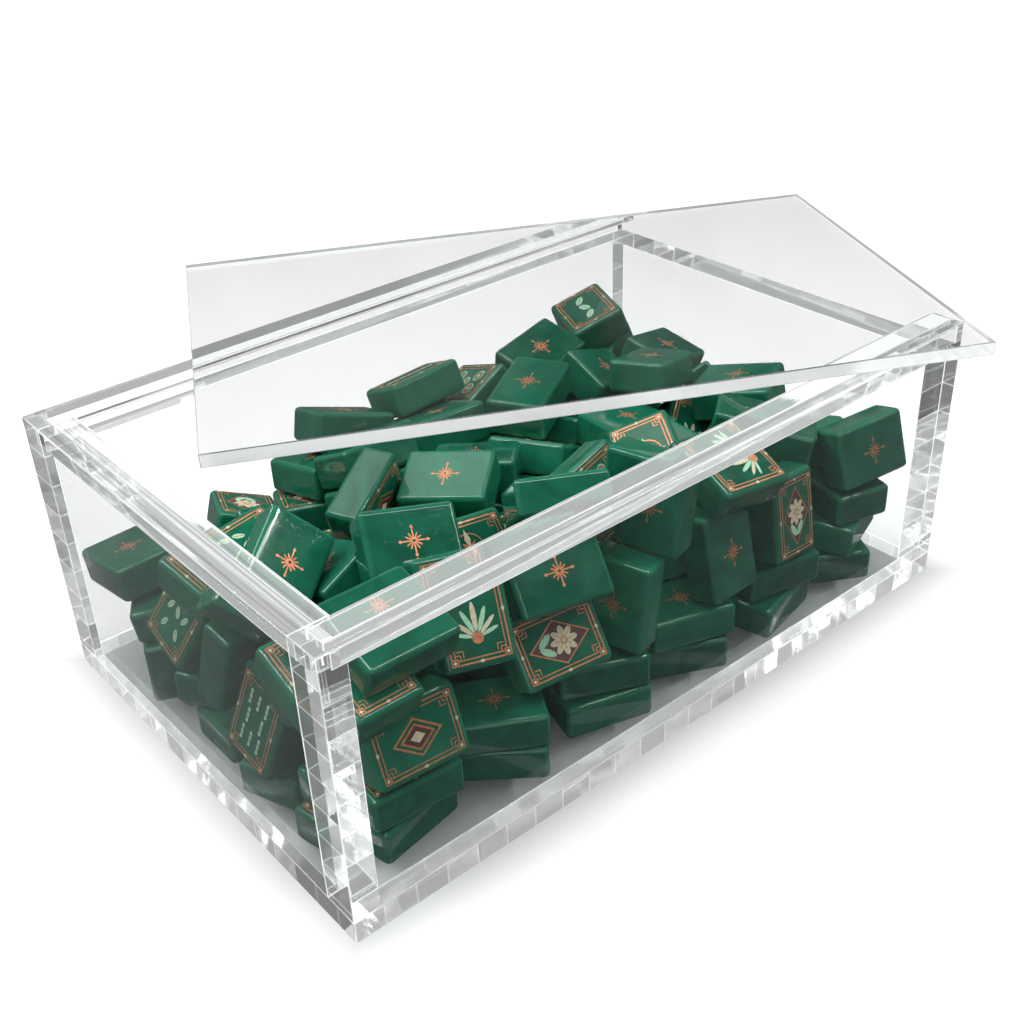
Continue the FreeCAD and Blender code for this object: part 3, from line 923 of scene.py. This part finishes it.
    def honour(self, pen: InlayPen, name: str) -> None:
        """The mark of one of the three plain honours.

        Args:
            pen: The pen on the tile's face.
            name: The honour's name.
        """
        if name == "red":
            for layer, (reach, ink) in enumerate(((8.0, Ink.COPPER), (7.0, Ink.RESIN), (5.6, Ink.COPPER),
                                                  (4.6, Ink.UMBER), (2.4, Ink.CREAM))):
                pen.disc((0, 0), reach * MM, ink, layer, 0.72, 0.0, 4)
        elif name == "green":
            for blade in range(-3, 4):
                turn = blade * 0.42
                reach = (9.5 - abs(blade) * 1.0) * MM
                root = Vector((-6.4 * MM, 0))
                middle = root + Vector((math.cos(turn), math.sin(turn))) * reach * 0.62
                pen.disc(tuple(middle), reach * 0.44, Ink.MINT if blade % 2 else Ink.CREAM, 1 + blade % 2, 0.2,
                         turn, 10)
            pen.disc((-6.4 * MM, 0), 1.7 * MM, Ink.COPPER, 4, 1.0, 0.0, 16)
        else:
            pen.box(6.6 * MM, 3.6 * MM, self.line, Ink.MINT)
            pen.box(5.8 * MM, 2.8 * MM, self.line * 0.7, Ink.CREAM)

    def face(self, pen: InlayPen, node: str, size: Vector) -> None:
        """Draws the face that a node's name asks for.

        Args:
            pen: The pen on the tile's face.
            node: The node's name, such as dot_3_tiles.
            size: The tile's size.
        """
        kind, *rest = node.split("_")
        self.border(pen, size)
        draw: dict[str, Callable[[], None]] = {
            "dot": lambda: self.dots(pen, int(rest[0])),
            "bamboo": lambda: self.canes(pen, int(rest[0])),
            "leaf": lambda: self.leaves(pen, int(rest[0])),
            "wind": lambda: self.compass(pen, ("north", "east", "south", "west").index(rest[0])),
            "honour": lambda: self.honour(pen, rest[0]),
            "season": lambda: self.season(pen),
            "flower": lambda: self.flower(pen, int(rest[0])),
        }
        draw[kind]()

    def back(self, pen: InlayPen) -> None:
        """Draws the copper starburst on the tile's back."""
        for ray in range(12):
            turn = ray * math.pi / 6
            way = Vector((math.cos(turn), math.sin(turn)))
            reach = (3.9 if ray % 3 == 0 else 2.7) * MM
            pen.bar(tuple(way * 0.9 * MM), tuple(way * reach), self.line * 0.9, Ink.COPPER)
            if ray % 3 == 0:
                pen.disc(tuple(way * (reach + 0.3 * MM)), 0.75 * MM, Ink.COPPER, 0, 0.7, turn, 4)
        pen.disc((0, 0), 0.95 * MM, Ink.COPPER, 1, 1.0, 0.0, 12)
        pen.disc((0, 0), 0.5 * MM, Ink.RESIN, 2, 1.0, 0.0, 12)


@dataclass
class TileSet:
    """All the tiles, one piece for each design.

    Args:
        edge_radius: The radius of a tile's rounded edges.
        segments: How many steps round an edge.
        shown_faces: Designs that turn their faces to the viewer.
        face_share: How many of the rest do so.
        seed: The start of the random draws.
    """

    view: Vector
    edge_radius: float = 1.8 * MM
    segments: int = 3
    shown_faces: frozenset[str] = frozenset({"season_tiles", "honour_red_tiles", "honour_green_tiles",
                                             "bamboo_8_tiles", "leaf_7_tiles", "flower_4_tile"})
    hidden_faces: frozenset[str] = frozenset({"wind_north_tiles", "wind_south_tiles", "dot_9_tiles",
                                              "flower_1_tile", "flower_2_tile", "flower_3_tile"})
    face_share: float = 0.3
    seed: int = 5
    art: TileArt = field(default_factory=TileArt)

    def build(self) -> Iterator[bpy.types.Object]:
        """Makes the tiles of every tile node.

        Yields:
            Each finished piece.
        """
        rng = random.Random(self.seed)
        for body, nodes in frame["record"]["behaviour"]["bodies"].items():
            for node in sorted(name for name in nodes if "tile" in name):
                yield self.build_node(node, body, rng)

    def build_node(self, node: str, body: str, rng: random.Random) -> bpy.types.Object:
        """Makes the tiles of one node.

        Args:
            node: The node's name.
            body: The body that it rides on.
            rng: The random draws.

        Returns:
            The finished piece.
        """
        places = tile_places(node)
        pattern = self.pattern(node, places[0].size)
        bm = bmesh.new()
        tone = bm.verts.layers.float.new("tone")
        bm.verts.layers.float.new("rim")
        for place in places:
            known = len(bm.verts)
            bm.from_mesh(pattern)
            bm.verts.ensure_lookup_table()
            fresh = bm.verts[known:]
            shade = rng.uniform(0.15, 0.95)
            for vert in fresh:
                vert[tone] = shade
            bmesh.ops.transform(bm, matrix=self.turned(node, place, rng), verts=fresh)
        bpy.data.meshes.remove(pattern)
        piece = link_piece(bm, f"{node}_inlaid", list(TILE_FINISHES.values()))
        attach(piece, body)
        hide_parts(node)
        return piece

    def pattern(self, node: str, size: Vector) -> bpy.types.Mesh:
        """One tile about its own middle, face up, long side along X.

        Args:
            node: The node's name.
            size: The tile's size.

        Returns:
            The tile's mesh.
        """
        bm = bmesh.new()
        rim = bm.verts.layers.float.new("rim")
        bmesh.ops.create_cube(bm, size=1.0, matrix=Matrix.Diagonal((*size, 1.0)))
        bmesh.ops.bevel(bm, geom=bm.edges[:], offset=self.edge_radius, offset_type="OFFSET",
                        segments=self.segments, profile=0.5, affect="EDGES", material=-1)
        half = size / 2
        # The rim mask marks where the resin's painted highlight goes.
        for vert in bm.verts:
            near = sum(abs(abs(part) - reach) < self.edge_radius * 0.98 for part, reach in zip(vert.co, half))
            vert[rim] = 1.0 if near > 1 else 0.0
        for face in bm.faces:
            face.smooth = True
        face_pen = InlayPen(bm, Side.FACE, half.z)
        self.art.face(face_pen, node, size)
        self.art.back(InlayPen(bm, Side.BACK, half.z))
        mesh = bpy.data.meshes.new(node)
        bm.to_mesh(mesh)
        bm.free()
        return mesh

    def turned(self, node: str, place: TilePlace, rng: random.Random) -> Matrix:
        """Turns a tile into its place, with its face or its back to the viewer.

        Args:
            node: The node's name.
            place: The tile's place.
            rng: The random draws.

        Returns:
            The tile's matrix.
        """
        faces_out = rng.random() < self.face_share
        upright = rng.random() < 0.5
        if node in self.shown_faces:
            faces_out, upright = True, place.along.z >= 0
        elif node in self.hidden_faces:
            faces_out = False
        looks_out = place.broad.dot(self.view) > 0
        up = place.broad if looks_out == faces_out else -place.broad
        along = place.along if upright else -place.along
        turn = Matrix((along, up.cross(along), up)).transposed().to_4x4()
        return Matrix.Translation(place.centre) @ turn


class Glow(Enum):
    """What a light does: whether it lights matt surfaces, and whether polished ones mirror it."""

    FULL = (True, True)
    SOFT = (True, False)
    CATCH = (False, True)


@dataclass
class Studio:
    """The pale floor, the soft light and the camera.

    Args:
        eye: Where the camera stands.
        target: What it looks at.
        roll: How far it is tilted about its own line of sight, in degrees.
        focal: Its focal length in pixels of the square picture.
        picture: The picture's width in pixels.
        floor_size: The floor's width.
        floor_drop: How far the floor lies under the base, so that the two faces never meet.
    """

    eye: Vector = field(default_factory=lambda: Vector((-247.03, -302.18, 286.06)) * MM)
    target: Vector = field(default_factory=lambda: Vector((-7.73, -8.56, 51.0)) * MM)
    roll: float = -2.4808
    focal: float = 1309.27
    picture: float = 1024.0
    floor_size: float = 8.0
    floor_drop: float = 0.2 * MM

    @property
    def view(self) -> Vector:
        """The way from the box to the camera."""
        return (self.eye - self.target).normalized()

    def build(self) -> None:
        """Makes the floor, the lights and the camera."""
        self.build_floor()
        self.build_world()
        self.softbox("overhead_softbox", (-0.4, 0.6, 3.0), (3.0, 3.0), 66.0, Glow.SOFT)
        self.softbox("front_fill", (-0.9, -1.3, 0.8), (1.0, 1.0), 4.5, Glow.SOFT)
        self.softbox("back_strip", (-0.9, 1.0, 1.3), (1.3, 0.06), 14.0)
        self.softbox("side_strip", (1.3, -0.7, 1.2), (1.0, 0.05), 12.0)
        self.softbox("edge_strip", (-0.17, -0.21, 1.5), (3.0, 0.2), 25.0, Glow.CATCH)
        self.build_camera()

    def build_floor(self) -> None:
        """Makes the pale floor under the box."""
        bm = bmesh.new()
        bmesh.ops.create_grid(bm, x_segments=4, y_segments=4, size=self.floor_size / 2,
                              matrix=Matrix.Translation((0, 0, -self.floor_drop)))
        link_piece(bm, "pale_floor", [PaleFloor("pale_floor")])

    def build_world(self) -> None:
        """Surrounds the box with soft light that falls off towards the horizon."""
        world = bpy.data.worlds.new("soft_studio")
        bpy.context.scene.world = world
        world.use_nodes = True
        nodes = NodeTree(world.node_tree)
        way = nodes.add("TexCoord").outputs["Generated"]
        high = nodes.add("SeparateXYZ", {0: way}).outputs["Z"]
        dome = nodes.ramp(high, 0.1, 0.95, 0.025, 0.42)
        tall = nodes.add("Mapping", {"Vector": way, "Scale": (13.0, 13.0, 5.0)})
        cards = nodes.add("TexNoise", {"Vector": tall.outputs[0], "Scale": 1.0, "Detail": 3.0}).outputs[0]
        panels = nodes.ramp(cards, 0.42, 0.56, 0.03, 0.34)
        path = nodes.add("LightPath").outputs
        glossed = nodes.math("ADD", nodes.math("MULTIPLY", dome, 0.3), nodes.ramp(high, 0.12, 0.36, 0.85, 0.0))
        around = nodes.add("Mix", {"Factor": path["Is Glossy Ray"], 2: dome, 3: glossed}).outputs[0]
        mirrored = nodes.math("MINIMUM", path["Glossy Depth"], 1.0)
        behind = nodes.add("Mix", {"Factor": mirrored, 2: 1.0, 3: panels}).outputs[0]
        inside = nodes.add("Mix", {"Factor": path["Is Transmission Ray"], 2: around, 3: behind}).outputs[0]
        light = nodes.add("Mix", {"Factor": path["Is Camera Ray"], 2: inside, 3: 1.0}).outputs[0]
        glow = nodes.add("Background", {"Color": (1.0, 1.0, 1.0, 1.0), "Strength": light})
        nodes.add("OutputWorld", {"Surface": glow.outputs[0]})

    def softbox(self, name: str, place: tuple[float, float, float], size: tuple[float, float], power: float,
                glow: Glow = Glow.FULL) -> None:
        """Hangs one soft light that shines at the box.

        Args:
            name: The light's name.
            place: Where it hangs.
            size: Its width and height.
            power: Its power in watts.
            glow: Which surfaces it shows on.
        """
        light = bpy.data.lights.new(name, "AREA")
        light.shape = "RECTANGLE"
        light.size, light.size_y = size
        light.energy = power
        lamp = bpy.data.objects.new(name, light)
        lamp.location = place
        lamp.visible_diffuse, lamp.visible_glossy = glow.value
        lamp.rotation_euler = (self.target - lamp.location).to_track_quat("-Z", "Y").to_euler()
        bpy.context.scene.collection.objects.link(lamp)

    def build_camera(self) -> None:
        """Sets the camera at the photograph's viewing angle."""
        camera = bpy.data.cameras.new("camera")
        camera.sensor_width = 36.0
        camera.lens = self.focal / self.picture * camera.sensor_width
        camera.clip_start = 0.01
        seat = bpy.data.objects.new("camera", camera)
        look = (self.target - self.eye).to_track_quat("-Z", "Y").to_matrix().to_4x4()
        seat.matrix_world = Matrix.Translation(self.eye) @ look @ Matrix.Rotation(math.radians(self.roll), 4, "Z")
        bpy.context.scene.collection.objects.link(seat)
        bpy.context.scene.camera = seat


def let_light_through() -> None:
    """Allows enough bounces for light that crosses several thick sheets."""
    cycles = bpy.context.scene.cycles
    cycles.max_bounces = 32
    cycles.transmission_bounces = 28
    cycles.glossy_bounces = 16
    cycles.transparent_max_bounces = 48
    bpy.context.scene.view_settings.view_transform = "Standard"


def main() -> None:
    """Builds the box, the lid, the tiles and the studio, and reports each piece."""
    logging.basicConfig(level=logging.INFO, format="%(name)s: %(message)s")
    studio = Studio()
    sheets = [ClearSheet(node) for node in ("front_wall", "back_wall", "right_end_wall")]
    sheets.append(ClearSheet("left_end_wall", saw_shaded_top=True))
    # The base's stepped ends get more painted glow; the lid's cut edges get more painted glow and less painted
    # highlight.
    sheets.append(ClearSheet("base_panel", finish=ClearAcrylic("base_acrylic", painted_pane_glow=0.2)))
    lid_finish = ClearAcrylic("lid_acrylic", colour=(0.86, 0.868, 0.866), edge_colour=(0.4, 0.44, 0.435), sheen=0.3,
                              satin=0.2, painted_edge_glow=0.36, painted_line_highlight=0.1)
    sheets.append(ClearSheet("lid", "lid", swell=-0.02 * MM, stepped_ends=False, finish=lid_finish))
    for sheet in sheets:
        LOG.info("sheet %s", sheet.build().name)
    for piece in TileSet(studio.view).build():
        LOG.info("tiles %s, %d faces", piece.name, len(piece.data.polygons))
    studio.build()
    let_light_through()


if __name__ == "__main__":
    main()
